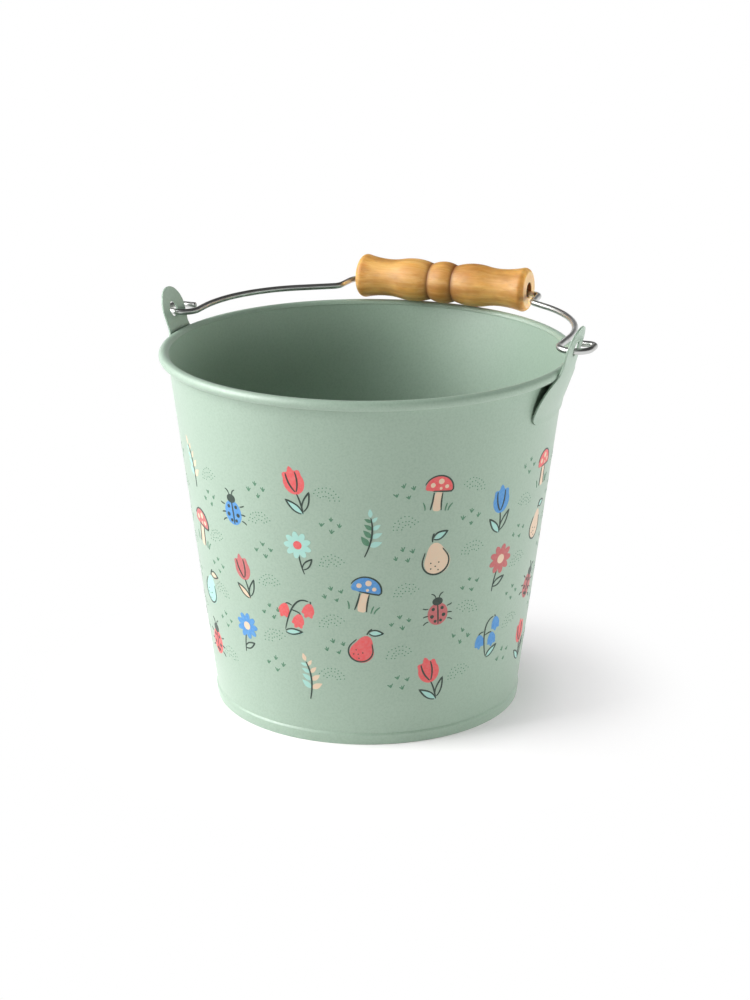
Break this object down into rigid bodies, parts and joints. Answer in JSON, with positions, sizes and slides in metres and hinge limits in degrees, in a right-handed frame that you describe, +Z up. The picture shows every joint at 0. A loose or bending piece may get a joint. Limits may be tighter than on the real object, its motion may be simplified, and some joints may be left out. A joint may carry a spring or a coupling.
{
  "type": "garden bucket",
  "caption": "Small painted sheet-steel bucket with a conical wall, rolled rim and recessed base, and a wire bail with a turned wooden grip that swings between welded ears.",
  "frame": {"origin": "on the bucket's axis, in the plane of the floor that it stands on", "axes": "+Z up along the bucket's axis, +X through the ears towards the one on the right, +Y towards the side that the bail lies back on"},
  "size_m": [0.1836, 0.1702, 0.1629],
  "materials": {
    "painted_steel": "satin powder coat, sage green",
    "bright_wire": "bright zinc plate on drawn wire",
    "lacquered_wood": "turned light hardwood under a honey lacquer"
  },
  "bodies": {
    "bucket": {"bucket_body": "painted_steel", "base_pan": "painted_steel", "ear_left": "painted_steel", "ear_right": "painted_steel"},
    "bail": {"bail_wire": "bright_wire"},
    "grip": {"handle_grip": "lacquered_wood"}
  },
  "joints": [
    {"name": "bail_swing", "type": "hinge", "parent": "bucket", "child": "bail", "pos_m": [0, 0, 0.15055], "axis": [1, 0, 0], "range_deg": [0, 175]},
    {"name": "grip_spin", "type": "hinge", "parent": "bail", "child": "grip", "pos_m": [0, 0.0785, 0.1537], "axis": [1, 0, 0], "continuous": true}
  ]
}
